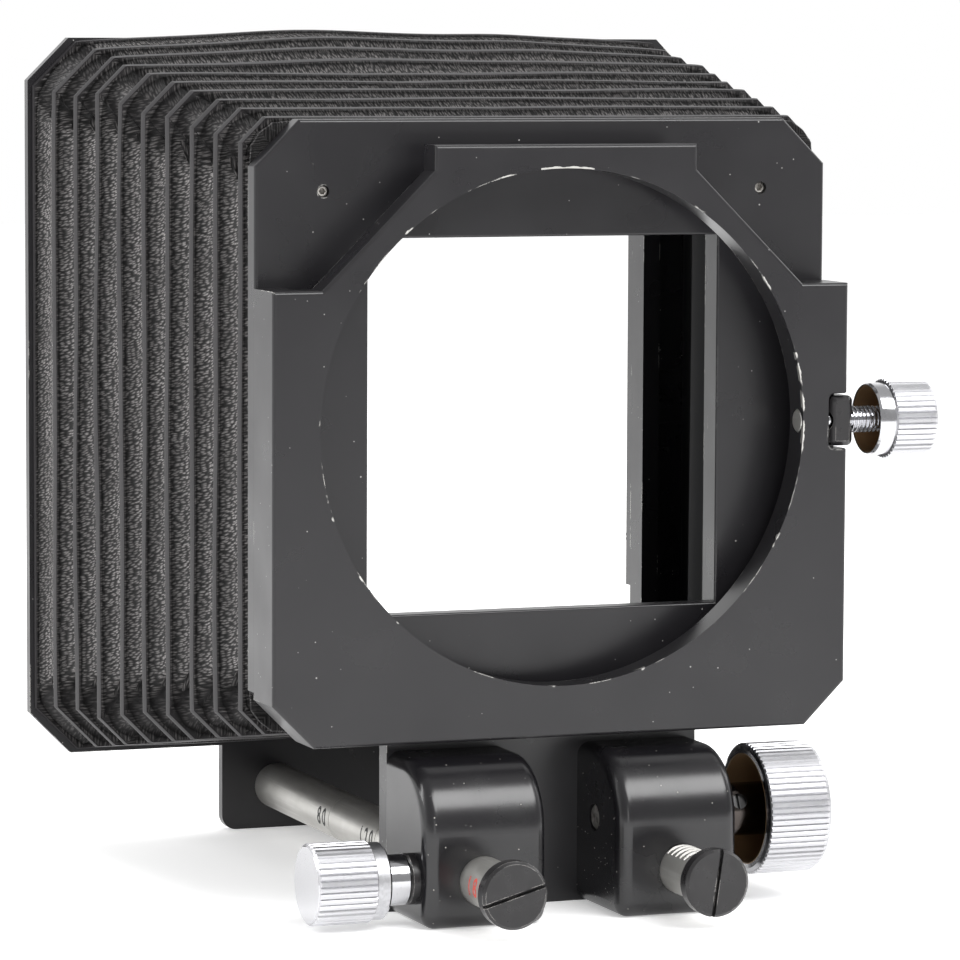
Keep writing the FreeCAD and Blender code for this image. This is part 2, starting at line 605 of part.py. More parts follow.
# ================================================================ front standard
FRONT_BACK = FRONT_Y + FRONT_T
COLLAR_MID = (FRONT_WINDOW + COLLAR_HALF) / 2
COLLAR_SCREWS = []
for far in (-COLLAR_MID, COLLAR_MID):
    for near in (-COLLAR_SCREW_AT, COLLAR_SCREW_AT):
        COLLAR_SCREWS += [(far, near - FRONT_DROP), (near, far - FRONT_DROP)]


def make_front_frame():
    body = plate(octagon(FRONT_HALF, FRONT_CUT, FRONT_DROP), FRONT_Y, FRONT_BACK)
    foot = box(-FOOT_HALF, FOOT_HALF, FRONT_Y, FRONT_BACK, BASE_Z, FOOT_TOP)
    foot = round_edges(foot, FOOT_ROUND, lambda edge: edge.BoundBox.ZMax < BASE_Z + 0.1
                       and edge.BoundBox.XMax - edge.BoundBox.XMin < 0.01)
    body = join([body, foot])
    w = FRONT_WINDOW
    z = -FRONT_DROP
    body = body.cut(box(-w, w, FRONT_Y - 1, FRONT_BACK + 1, z - w, z + w))
    notch = box(w - 1, w + FRONT_NOTCH, FRONT_Y - 1, FRONT_BACK + 1, z - w, z + FRONT_NOTCH_Z)
    notch = round_edges(notch, 1.5, lambda edge: abs(edge.BoundBox.XMin - w - FRONT_NOTCH) < 0.01
                        and edge.BoundBox.YMax - edge.BoundBox.YMin > 1)
    body = body.cut(notch).cut(mirror_x(notch))
    body = round_edges(body, FINE_ROUND, lambda edge: lies_on_y(edge, FRONT_BACK))
    for x, z in COLLAR_SCREWS:
        body = body.cut(recess(COLLAR_SCREW, FRONT_BACK, FRONT_Y - 1, x, z))
    for side in (-1, 1):
        body = body.cut(recess(ROD_END_SCREW, FRONT_BACK, FRONT_Y - 1, side * ROD_X, ROD_Z))
    return body


def make_front_collar():
    y0 = FRONT_Y - COLLAR_LENGTH
    collar = plate(octagon(COLLAR_HALF, COLLAR_CUT, FRONT_DROP), y0, FRONT_Y)
    w = FRONT_WINDOW
    collar = collar.cut(box(-w, w, y0 - 1, FRONT_Y + 1, -FRONT_DROP - w, -FRONT_DROP + w))
    for x, z in COLLAR_SCREWS:
        collar = collar.cut(rod_along_y(COLLAR_SCREW[1], FRONT_Y - COLLAR_SCREW_L - 0.2, FRONT_Y + 1, x, z))
    return collar


def make_collar_screws():
    tip = FRONT_Y - COLLAR_SCREW_L
    return group([countersunk(COLLAR_SCREW, FRONT_BACK, tip, x, z) for x, z in COLLAR_SCREWS])


def make_rod(side):
    """Plain guide rod, tapped at both ends."""
    near = CAP_Y + CAP_T
    x = side * ROD_X
    rod = rod_along_y(ROD_R, near, FRONT_Y, x, ROD_Z)
    rod = rod.cut(rod_along_y(CAP_SHANK_R, near - 1, near + CAP_SHANK_L + TAP_SPARE, x, ROD_Z))
    tap_end = FRONT_Y - ROD_END_SCREW_L - TAP_SPARE
    return rod.cut(rod_along_y(ROD_END_SCREW[1], tap_end, FRONT_Y + 1, x, ROD_Z))


def make_left_rod():
    """The scale rod: a fine ring groove at each mark."""
    rod = make_rod(-1)
    for y in SCALE_RINGS:
        ring = rod_along_y(ROD_R + 1, y - SCALE_MARK, y + SCALE_MARK, -ROD_X, ROD_Z)
        ring = ring.cut(rod_along_y(ROD_R - SCALE_MARK, y - 1, y + 1, -ROD_X, ROD_Z))
        rod = rod.cut(ring)
    return rod


def make_right_rod():
    """The rack rod: straight rack teeth cut across its upper side."""
    rod = make_rod(1)
    half_gap = (PITCH / 2 + BACKLASH) / 2
    rise = MODULE * 1.4
    drop = MODULE * 1.25
    top = half_gap + rise * math.tan(PRESSURE)
    bottom = half_gap - drop * math.tan(PRESSURE)
    cutters = []
    first = math.ceil((RACK_START - PINION_Y) / PITCH)
    last = math.floor((RACK_END - PINION_Y) / PITCH)
    for k in range(first, last + 1):
        y = PINION_Y + k * PITCH
        corners = [V(ROD_X - 6, y - top, PITCH_Z + rise), V(ROD_X - 6, y + top, PITCH_Z + rise),
                   V(ROD_X - 6, y + bottom, PITCH_Z - drop), V(ROD_X - 6, y - bottom, PITCH_Z - drop)]
        cutters.append(Part.Face(Part.makePolygon(corners + corners[:1])).extrude(V(12, 0, 0)))
    return rod.cut(Part.makeCompound(cutters))


def make_rod_cap(side, slot_angle):
    """Slotted stop screw: wide head outside, threaded shank in the rod."""
    head_end = CAP_Y + CAP_T
    tip = head_end + CAP_SHANK_L
    cap = turned_y([(CAP_Y, 0), (CAP_Y, CAP_R - CAP_BEVEL), (CAP_Y + CAP_BEVEL, CAP_R),
                    (head_end - 0.2, CAP_R), (head_end, CAP_R - 0.2), (head_end, CAP_SHANK_R),
                    (tip, CAP_SHANK_R), (tip, 0)], side * ROD_X, ROD_Z)
    slot = box(-CAP_R - 1, CAP_R + 1, CAP_Y - 1, CAP_Y + CAP_SLOT_DEPTH, -CAP_SLOT_W / 2, CAP_SLOT_W / 2)
    slot.rotate(V(0, 0, 0), V(0, 1, 0), slot_angle)
    slot.translate(V(side * ROD_X, 0, ROD_Z))
    return cap.cut(slot)


def make_rod_end_screws():
    return group([countersunk(ROD_END_SCREW, FRONT_BACK, FRONT_Y - ROD_END_SCREW_L, side * ROD_X, ROD_Z)
                  for side in (-1, 1)])


# ================================================================ bellows
def make_bellows():
    """Plain tapered tube with the bellows' outer size and its open inside."""
    y0 = CARRIER_BACK
    y1 = FRONT_Y - SOFT_GAP
    rear = octagon(BELLOWS_REAR_HALF, BELLOWS_CUT_REAR)
    front = octagon(BELLOWS_FRONT_HALF, BELLOWS_CUT_FRONT, FRONT_DROP)
    inner_rear = octagon(BELLOWS_REAR_HALF - BELLOWS_DEPTH, BELLOWS_INNER_CUT)
    inner_front = octagon(BELLOWS_FRONT_HALF - BELLOWS_DEPTH + 0.2, BELLOWS_INNER_CUT, FRONT_DROP)
    outer = Part.makeLoft([outline(rear, y0), outline(front, y1)], True, True)
    inner = Part.makeLoft([outline(inner_rear, y0), outline(inner_front, y1)], True, True)
    return outer.cut(inner)


# ================================================================ write every node
os.makedirs("parts", exist_ok=True)

save("ring_plate", make_ring_plate())
save("ring_plate_screws", make_ring_screws())
save("carrier_plate", make_carrier())
save("carrier_screws", make_carrier_screws())
save("rear_bellows_frame", make_rear_frame())
save("left_rod_block", make_left_block())
save("right_rod_block", make_right_block())
save("block_screws", make_block_screws())
save("lock_bush", make_lock_bush())
save("lock_pad", make_lock_pad())
save("lock_screw", make_lock_screw())
save("lock_knob", make_lock_knob())
save("clamp_nut", make_clamp_nut())
save("clamp_pad", make_clamp_pad())
save("clamp_screw", make_clamp_screw())
save("clamp_knob", make_clamp_knob())
save("pinion_gear", make_pinion_gear())
save("pinion_shaft", make_pinion_shaft())
save("pinion_bush", make_pinion_bush())
save("focus_knob", make_focus_knob())
save("focus_set_screw", make_focus_set_screw())
save("front_frame", make_front_frame())
save("front_bellows_frame", make_front_collar())
save("front_frame_screws", make_collar_screws())
save("left_rod", make_left_rod())
save("right_rod", make_right_rod())
save("left_rod_cap", make_rod_cap(-1, LEFT_SLOT_ANGLE))
save("right_rod_cap", make_rod_cap(1, RIGHT_SLOT_ANGLE))
save("rod_end_screws", make_rod_end_screws())
save("bellows", make_bellows())
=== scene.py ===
from collections import namedtuple
import json
import math
import random

import bmesh
import bpy
import numpy as np
from mathutils import Matrix, Vector


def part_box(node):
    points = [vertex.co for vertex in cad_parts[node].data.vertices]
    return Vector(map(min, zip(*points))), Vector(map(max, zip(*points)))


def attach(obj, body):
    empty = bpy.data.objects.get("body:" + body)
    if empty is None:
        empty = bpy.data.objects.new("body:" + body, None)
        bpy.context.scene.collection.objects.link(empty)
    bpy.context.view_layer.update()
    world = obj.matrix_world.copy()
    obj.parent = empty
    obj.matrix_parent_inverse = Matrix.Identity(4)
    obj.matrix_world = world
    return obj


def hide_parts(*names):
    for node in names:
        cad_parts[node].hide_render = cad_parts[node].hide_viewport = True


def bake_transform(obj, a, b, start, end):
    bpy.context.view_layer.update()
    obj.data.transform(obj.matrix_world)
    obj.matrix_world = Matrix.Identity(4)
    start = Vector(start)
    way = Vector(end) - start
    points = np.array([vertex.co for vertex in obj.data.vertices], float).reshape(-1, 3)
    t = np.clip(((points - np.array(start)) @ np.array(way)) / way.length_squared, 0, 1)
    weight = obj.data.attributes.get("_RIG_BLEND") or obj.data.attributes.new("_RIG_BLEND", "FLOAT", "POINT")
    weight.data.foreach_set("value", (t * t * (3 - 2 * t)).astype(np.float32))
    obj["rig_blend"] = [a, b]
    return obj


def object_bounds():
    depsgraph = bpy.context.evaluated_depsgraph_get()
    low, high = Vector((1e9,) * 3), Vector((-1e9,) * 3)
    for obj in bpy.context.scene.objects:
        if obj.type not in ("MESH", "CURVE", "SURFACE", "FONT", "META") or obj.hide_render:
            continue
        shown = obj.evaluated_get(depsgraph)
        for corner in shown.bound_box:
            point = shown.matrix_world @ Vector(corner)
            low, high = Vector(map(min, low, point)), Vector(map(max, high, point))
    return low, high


# A bellows lens shade: two black standards, chrome hand knobs, steel rods and a pleated leatherette bellows.
# Metres throughout, in the CAD frame: +Y points from the lens towards the wide front frame.

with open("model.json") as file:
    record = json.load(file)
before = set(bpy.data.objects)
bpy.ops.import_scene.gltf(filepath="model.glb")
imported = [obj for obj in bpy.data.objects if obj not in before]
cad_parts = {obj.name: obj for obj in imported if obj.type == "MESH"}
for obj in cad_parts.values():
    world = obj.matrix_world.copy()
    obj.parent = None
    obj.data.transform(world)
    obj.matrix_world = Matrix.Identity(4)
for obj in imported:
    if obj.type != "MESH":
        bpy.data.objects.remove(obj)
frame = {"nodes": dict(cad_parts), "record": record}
cad_low, cad_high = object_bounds()

MM = 0.001

# ---------------------------------------------------------------- places taken from the CAD nodes
_, carrier_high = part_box("carrier_plate")
bellows_low, bellows_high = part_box("bellows")
rod_low, rod_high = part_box("left_rod")
FLOOR_Z = cad_low[2]
BORE_R = frame["record"]["mounts"][0]["dims"]["r_mm"] * MM


# ================================================================ node trees
def join(tree, value, socket):
    """Plug a node's output into a socket, or set the socket's plain value."""
    if isinstance(value, bpy.types.NodeSocket):
        tree.links.new(value, socket)
    else:
        socket.default_value = value


def map_range(tree, value, low, high, to_low=0.0, to_high=1.0):
    node = tree.nodes.new("ShaderNodeMapRange")
    join(tree, value, node.inputs["Value"])
    settings = (("From Min", low), ("From Max", high), ("To Min", to_low), ("To Max", to_high))
    for name, number in settings:
        node.inputs[name].default_value = number
    return node


def blend_numbers(tree, share, first, second):
    node = tree.nodes.new("ShaderNodeMix")
    join(tree, share, node.inputs[0])
    join(tree, first, node.inputs[2])
    join(tree, second, node.inputs[3])
    return node.outputs[0]


class Graph:
    """A material's node tree, with one short call per node."""

    def __init__(self, name):
        self.material = bpy.data.materials.new(name)
        self.material.use_nodes = True
        self.tree = self.material.node_tree
        self.shader = self.tree.nodes["Principled BSDF"]
        self.place = self.tree.nodes.new("ShaderNodeTexCoord").outputs["Object"]
        split = self.tree.nodes.new("ShaderNodeSeparateXYZ")
        self.tree.links.new(self.place, split.inputs[0])
        self.x, self.y, self.z = split.outputs

    def join(self, value, socket):
        join(self.tree, value, socket)

    def set(self, name, value):
        self.join(value, self.shader.inputs[name])

    def math(self, operation, *values):
        node = self.tree.nodes.new("ShaderNodeMath")
        node.operation = operation
        for i, value in enumerate(values):
            self.join(value, node.inputs[i])
        return node.outputs[0]

    def product(self, *values):
        result = values[0]
        for value in values[1:]:
            result = self.math("MULTIPLY", result, value)
        return result

    def remap(self, value, low, high, to_low=0.0, to_high=1.0):
        return map_range(self.tree, value, low, high, to_low, to_high).outputs[0]

    def stretched(self, x, y, z):
        node = self.tree.nodes.new("ShaderNodeMapping")
        self.join(self.place, node.inputs["Vector"])
        node.inputs["Scale"].default_value = (x, y, z)
        return node.outputs[0]

    def noise(self, scale, detail=2.0, at=None):
        node = self.tree.nodes.new("ShaderNodeTexNoise")
        self.join(at or self.place, node.inputs["Vector"])
        node.inputs["Scale"].default_value = scale
        node.inputs["Detail"].default_value = detail
        return node.outputs["Fac"]

    def cells(self, scale, at=None):
        node = self.tree.nodes.new("ShaderNodeTexVoronoi")
        self.join(at or self.place, node.inputs["Vector"])
        node.inputs["Scale"].default_value = scale
        return node

    def mix(self, share, first, second):
        """A colour between first and second."""
        node = self.tree.nodes.new("ShaderNodeMix")
        node.data_type = "RGBA"
        self.join(share, node.inputs[0])
        self.join(first, node.inputs[6])
        self.join(second, node.inputs[7])
        return node.outputs[2]

    def blend(self, share, first, second):
        """A number between first and second."""
        return blend_numbers(self.tree, share, first, second)

    def bump(self, height, depth, strength=1.0, under=None):
        node = self.tree.nodes.new("ShaderNodeBump")
        node.inputs["Strength"].default_value = strength
        node.inputs["Distance"].default_value = depth
        self.join(height, node.inputs["Height"])
        if under is not None:
            self.join(under, node.inputs["Normal"])
        return node.outputs[0]

    def attribute(self, name):
        node = self.tree.nodes.new("ShaderNodeAttribute")
        node.attribute_name = name
        return node.outputs["Fac"]

    def distance_to_line_x(self, y, z):
        """Distance from a line along X, such as a knob's axis."""
        across = self.math("SUBTRACT", self.y, y)
        up = self.math("SUBTRACT", self.z, z)
        return self.math("SQRT", self.math("ADD", self.product(across, across), self.product(up, up)))

    def distance_to_line_y(self, x, z):
        across = self.math("SUBTRACT", self.x, x)
        up = self.math("SUBTRACT", self.z, z)
        return self.math("SQRT", self.math("ADD", self.product(across, across), self.product(up, up)))

    def worn_edges(self, radius, threshold):
        """Mask of sharp edges, broken up by noise into chips."""
        bevel = self.tree.nodes.new("ShaderNodeBevel")
        bevel.inputs["Radius"].default_value = radius
        surface = self.tree.nodes.new("ShaderNodeNewGeometry")
        dot = self.tree.nodes.new("ShaderNodeVectorMath")
        dot.operation = "DOT_PRODUCT"
        self.tree.links.new(bevel.outputs[0], dot.inputs[0])
        self.tree.links.new(surface.outputs["Normal"], dot.inputs[1])
        edge = self.remap(dot.outputs["Value"], 0.97, 0.86)
        long_chips = self.remap(self.noise(95, 3), threshold, threshold + 0.03)
        ragged = self.remap(self.noise(900, 2), 0.40, 0.46)
        return self.product(edge, long_chips, ragged)

    def dust(self, scale, size, share):
        """Sparse round specks: size is their radius in cells, share how many cells hold one."""
        cell = self.cells(scale)
        near = self.remap(cell.outputs["Distance"], size, size * 0.5)
        chosen = self.tree.nodes.new("ShaderNodeSeparateColor")
        self.tree.links.new(cell.outputs["Color"], chosen.inputs[0])
        lucky = self.math("GREATER_THAN", chosen.outputs[0], 1 - share)
        return self.product(near, lucky)


# ================================================================ colours, as linear red, green, blue, alpha
WHITE = (1, 1, 1, 1)
PAPER = (0.95, 0.95, 0.95, 1)
ANODISED = (0.0095, 0.0090, 0.0105, 1)
ANODISED_PALE = (0.015, 0.014, 0.016, 1)
DUST = (0.40, 0.39, 0.38, 1)
BARE_ALUMINIUM = (0.62, 0.61, 0.58, 1)
GLOSS = (0.007, 0.007, 0.008, 1)
GLOSS_PALE = (0.012, 0.011, 0.013, 1)
WARM_DUST = (0.48, 0.46, 0.42, 1)
BLACKING = (0.010, 0.009, 0.010, 1)
BLACKING_PALE = (0.020, 0.019, 0.020, 1)
CHIPPED_SCREW = (0.50, 0.48, 0.46, 1)
WORN_BLACKING = (0.15, 0.14, 0.13, 1)
BARE_STEEL = (0.50, 0.48, 0.45, 1)
GROUND_STEEL = (0.66, 0.65, 0.62, 1)
STAINED_STEEL = (0.54, 0.53, 0.50, 1)
SCUFFED_STEEL = (0.84, 0.83, 0.81, 1)
CHROME = (0.62, 0.62, 0.64, 1)
CHROME_DULL = (0.55, 0.55, 0.57, 1)
CHROME_PIT = (0.36, 0.36, 0.37, 1)
# darker colour in the knobs' grooves
GROOVE_DARK = (0.30, 0.30, 0.31, 1)
HOLLOW = (0.42, 0.27, 0.14, 1)
HOLLOW_DARK = (0.25, 0.155, 0.085, 1)
# painted shadow on the hub deep inside the focus knob's hollow
HUB_SHADOW = (0.075, 0.065, 0.06, 1)
BRASS = (0.62, 0.44, 0.19, 1)
BRASS_DARK = (0.24, 0.16, 0.08, 1)
LEATHER = (0.020, 0.018, 0.019, 1)
LEATHER_DUSTY = (0.038, 0.034, 0.034, 1)
LEATHER_SMOOTH = (0.017, 0.016, 0.018, 1)
# painted highlight on the pebbles' tops
PEBBLE_HIGHLIGHT = (0.39, 0.37, 0.365, 1)
# painted shade in the creases between the pebbles
PEBBLE_CREASE_SHADE = (0.004, 0.004, 0.004, 1)
VALLEY_SHADE = (0.003, 0.003, 0.003, 1)
LINING = (0.010, 0.010, 0.011, 1)
INK_BLACK = (0.02, 0.02, 0.02, 1)
INK_RED = (0.62, 0.09, 0.07, 1)
INK_WORN = (0.5, 0.5, 0.49, 1)


# ================================================================ camera, stage and light
CAMERA_PLACE = (-0.3315, -0.8331, 0.0739)
CAMERA_YAW = 20.69           # degrees to the right of +Y
CAMERA_PITCH = 5.32          # degrees below the horizon
CAMERA_ROLL = 0.25
CAMERA_CLIP = (0.01, 50)
CAMERA_LENS = 184.37         # mm, on a sensor of SENSOR mm
SENSOR = 36

FLOOR_HALF = 3.0
FLOOR_FRONT = -0.9           # the paper ends this far in front of the object
PAPER_GLOW = 0.38            # light that comes through the paper from below
TOP_LEVEL = 0.55             # brightness of the surround overhead
BACK_LEVEL = 1.20            # behind and beside the object
FRONT_LEVEL = 0.42           # on the viewer's side
SIDE_FADE = (-0.50, 0.10)    # Y of the direction, from the front level to the back level
TOP_FADE = (0.40, 0.80)      # Z of the direction, from either of them to the top level

LIGHT_TARGET = (0, 0.04, -0.01)
# name, direction from the target, distance, width, height, brightness
LIGHTS = (
    ("key", (0.33, -0.62, 0.72), 1.3, 1.1, 0.62, 7.5),
    ("left", (-1.0, 0.25, 0.62), 1.2, 0.45, 0.6, 6.8),
    ("right", (1.0, 0.2, 0.6), 1.4, 0.6, 0.6, 2.0),
    ("top", (0.0, 0.5, 1.0), 1.3, 0.8, 0.6, 3.0),
    ("strip", (-0.23, -0.96, 0.12), 1.6, 0.09, 0.6, 6.0),
)


def make_camera():
    data = bpy.data.cameras.new("camera")
    data.lens = CAMERA_LENS
    data.sensor_width = SENSOR
    data.clip_start = CAMERA_CLIP[0]
    data.clip_end = CAMERA_CLIP[1]
    camera = bpy.data.objects.new("camera", data)
    bpy.context.scene.collection.objects.link(camera)
    turn = Matrix.Rotation(math.radians(-CAMERA_YAW), 4, "Z")
    tilt = Matrix.Rotation(math.radians(90 - CAMERA_PITCH), 4, "X")
    roll = Matrix.Rotation(math.radians(CAMERA_ROLL), 4, "Z")
    camera.matrix_world = Matrix.Translation(CAMERA_PLACE) @ turn @ tilt @ roll
    bpy.context.scene.camera = camera


def make_floor():
    """White paper under the object, with a little light coming through it."""
    mesh = bpy.data.meshes.new("floor")
    half = FLOOR_HALF
    corners = [(-half, FLOOR_FRONT, FLOOR_Z), (half, FLOOR_FRONT, FLOOR_Z), (half, half, FLOOR_Z),
               (-half, half, FLOOR_Z)]
    mesh.from_pydata(corners, [], [(0, 1, 2, 3)])
    floor = bpy.data.objects.new("floor", mesh)
    bpy.context.scene.collection.objects.link(floor)
    paper = Graph("floor_paper")
    paper.set("Base Color", PAPER)
    paper.set("Roughness", 0.9)
    paper.set("Specular IOR Level", 0.1)
    paper.set("Emission Color", WHITE)
    paper.set("Emission Strength", PAPER_GLOW)
    mesh.materials.append(paper.material)


def make_world():
    """White surround, dimmer overhead and on the viewer's side, but plain white to the camera itself."""
    world = bpy.data.worlds.new("studio")
    world.use_nodes = True
    tree = world.node_tree
    ground = tree.nodes["Background"]
    place = tree.nodes.new("ShaderNodeTexCoord")
    split = tree.nodes.new("ShaderNodeSeparateXYZ")
    tree.links.new(place.outputs["Generated"], split.inputs[0])
    y, z = split.outputs[1:]

    def fade(value, low, high):
        node = map_range(tree, value, low, high)
        node.interpolation_type = "SMOOTHSTEP"
        return node.outputs[0]

    round_about = blend_numbers(tree, fade(y, *SIDE_FADE), FRONT_LEVEL, BACK_LEVEL)
    level = blend_numbers(tree, fade(z, *TOP_FADE), round_about, TOP_LEVEL)
    path = tree.nodes.new("ShaderNodeLightPath")
    level = blend_numbers(tree, path.outputs["Is Camera Ray"], level, 1.0)
    tree.links.new(level, ground.inputs["Strength"])
    ground.inputs["Color"].default_value = WHITE
    bpy.context.scene.world = world


def make_soft_box(name, direction, distance, width, height, brightness):
    """Rectangular area light that faces the target; its power is brightness times pi times its area."""
    data = bpy.data.lights.new(name, "AREA")
    data.shape = "RECTANGLE"
    data.size = width
    data.size_y = height
    data.energy = brightness * math.pi * width * height
    light = bpy.data.objects.new(name, data)
    bpy.context.scene.collection.objects.link(light)
    away = Vector(direction).normalized()
    light.location = Vector(LIGHT_TARGET) + away * distance
    light.rotation_euler = away.to_track_quat("Z", "Y").to_euler()


def make_lights():
    for light in LIGHTS:
        make_soft_box(*light)


# ================================================================ materials
# Scales of noise and cells count per metre. A remap's first two numbers are where its mask starts and is full.
CHIP_WIDTH = (0.10, 0.42)    # mm, as the chips' outline wanders
CHIP_DEPTH = 0.9 * MM        # how far they reach into the bore
TOP_CHIP_HALF = 5.2 * MM     # half the length of the long chip on top
SIDE_CHIPS_Z = (-6 * MM, 13 * MM)


def bore_chips(g):
    """Bare metal along the bore's front edge: a long chip on top, short ones by the clamp, a few strays."""
    off_edge = g.math("ABSOLUTE", g.math("SUBTRACT", g.distance_to_line_y(0, 0), BORE_R))
    wander = g.remap(g.noise(700, 2), 0.3, 0.7, *CHIP_WIDTH)
    at_rim = g.math("LESS_THAN", off_edge, g.product(wander, MM))
    at_front = g.math("LESS_THAN", g.y, CHIP_DEPTH)
    near_middle = g.math("LESS_THAN", g.math("ABSOLUTE", g.x), TOP_CHIP_HALF)
    top = g.product(g.math("GREATER_THAN", g.z, 0.0), near_middle)
    above = g.math("GREATER_THAN", g.z, SIDE_CHIPS_Z[0])
    below = g.math("LESS_THAN", g.z, SIDE_CHIPS_Z[1])
    beside = g.product(g.math("GREATER_THAN", g.x, 0.0), above, below)
    broken = g.noise(210, 2)
    side_chips = g.product(beside, g.remap(broken, 0.46, 0.50))
    stray = g.remap(broken, 0.63, 0.67)
    share = g.math("MAXIMUM", g.math("MAXIMUM", top, side_chips), stray)
    return g.product(at_rim, at_front, share)


def black_anodised():
    """The flat black of the plates: faintly cloudy and dusty, chipped to bare metal at sharp edges."""
    g = Graph("black_anodised")
    cloudy = g.noise(18, 3)
    base = g.mix(cloudy, ANODISED, ANODISED_PALE)
    specks = g.math("MAXIMUM", g.dust(230, 0.045, 0.35), g.dust(620, 0.09, 0.12))
    base = g.mix(specks, base, DUST)
    wear = g.math("MAXIMUM", g.worn_edges(0.35 * MM, 0.56), bore_chips(g))
    base = g.mix(wear, base, BARE_ALUMINIUM)
    g.set("Base Color", base)
    g.set("Metallic", g.product(wear, 0.85))
    rough = g.remap(g.noise(60, 4), 0.3, 0.7, 0.25, 0.36)
    g.set("Roughness", g.blend(g.math("MAXIMUM", specks, wear), rough, 0.45))
    g.set("Specular IOR Level", 0.5)
    grain = g.noise(2600, 2)
    waves = g.noise(140, 2)
    g.set("Normal", g.bump(waves, 0.02 * MM, 0.5, g.bump(grain, 0.004 * MM, 0.6)))
    return g.material


def black_gloss():
    """The shinier black of the rod blocks, smudged and dusty."""
    g = Graph("black_gloss")
    base = g.mix(g.noise(30, 2), GLOSS, GLOSS_PALE)
    specks = g.math("MAXIMUM", g.dust(420, 0.065, 0.45), g.dust(1000, 0.11, 0.14))
    g.set("Base Color", g.mix(specks, base, WARM_DUST))
    smudge = g.remap(g.noise(75, 5), 0.35, 0.7, 0.20, 0.30)
    g.set("Roughness", g.blend(specks, smudge, 0.6))
    g.set("Specular IOR Level", 0.6)
    g.set("Normal", g.bump(g.noise(55, 2), 0.05 * MM, 0.5))
    return g.material


def black_screw():
    """A blacked and turned screw head with worn edges."""
    g = Graph("black_screw")
    base = g.mix(g.noise(240, 3), BLACKING, BLACKING_PALE)
    wear = g.worn_edges(0.2 * MM, 0.50)
    g.set("Base Color", g.mix(wear, base, CHIPPED_SCREW))
    g.set("Metallic", g.product(wear, 0.9))
    g.set("Roughness", g.remap(g.noise(500, 3), 0.3, 0.7, 0.24, 0.40))
    turned = g.noise(900, 2, g.stretched(1, 0.02, 1))
    g.set("Normal", g.bump(turned, 0.008 * MM, 0.6))
    return g.material


def worn_screw():
    """Blacking worn down to bare steel, on the carrier plate's screws and the pinion shaft."""
    g = Graph("worn_screw")
    bare = g.remap(g.noise(900, 3), 0.35, 0.60)
    g.set("Base Color", g.mix(bare, WORN_BLACKING, BARE_STEEL))
    g.set("Metallic", 0.6)
    g.set("Roughness", g.remap(g.noise(700, 3), 0.3, 0.7, 0.38, 0.55))
    g.set("Normal", g.bump(g.noise(1600, 2), 0.02 * MM, 0.6))
    return g.material


def satin_steel():
    """Ground steel: fine rings round the rod, faint stains, lengthwise scuffs."""
    g = Graph("satin_steel")
    stain = g.remap(g.noise(70, 4), 0.35, 0.75)
    base = g.mix(stain, GROUND_STEEL, STAINED_STEEL)
    rings = g.noise(1.0, 3, g.stretched(60, 5200, 60))
    scuffs = g.remap(g.noise(1.0, 2, g.stretched(1500, 45, 1500)), 0.58, 0.70)
    g.set("Base Color", g.mix(g.product(scuffs, 0.35), base, SCUFFED_STEEL))
    g.set("Metallic", 0.82)
    g.set("Roughness", g.remap(g.noise(320, 3), 0.3, 0.7, 0.34, 0.46))
    g.set("Normal", g.bump(rings, 0.010 * MM, 0.5))
    return g.material


RIB_HEIGHT = 0.45 * MM       # a knob counts as ribbed down to this far below its ribs' tops
GROOVE_DARK_DEPTH = (0.16 * MM, 0.34 * MM)     # the grooves start to darken and are darkest this far below the ribs' tops
HOLLOW_GAP = 0.10 * MM       # the finish of a hollow, and the painted shadow on a hub, reach this far beyond its radius
HUB_GAP = 0.05 * MM          # and a hollow's starts this far off the hub
MOUTH_LIP = 0.2 * MM         # a hollow's finish starts this far inside its mouth
END_WALL = 1.2 * MM          # and no hollow comes closer than this to the knob's outer end
FOCUS_HUB_R = 5.0 * MM       # the hub inside the focus knob's hollow
FOCUS_WALL = 2.0 * MM        # thickness of the wall round the focus knob's hollow
CLAMP_WALL = 1.0 * MM        # and round the clamp knob's


def plating(g):
    """Colour and roughness of bright plating with fine pits."""
    pits = g.remap(g.noise(2600, 3), 0.62, 0.72)
    base = g.mix(g.noise(40, 2), CHROME, CHROME_DULL)
    base = g.mix(g.product(pits, 0.35), base, CHROME_PIT)
    return base, g.remap(g.noise(420, 4), 0.3, 0.75, 0.08, 0.18)


def finish_plating(g, base, rough, metal):
    g.set("Base Color", base)
    g.set("Metallic", metal)
    g.set("Roughness", rough)
    g.set("Normal", g.bump(g.noise(1500, 3), 0.004 * MM, 0.4))
    return g.material


def chrome_plain():
    g = Graph("chrome_plain")
    base, rough = plating(g)
    return finish_plating(g, base, rough, 1.0)


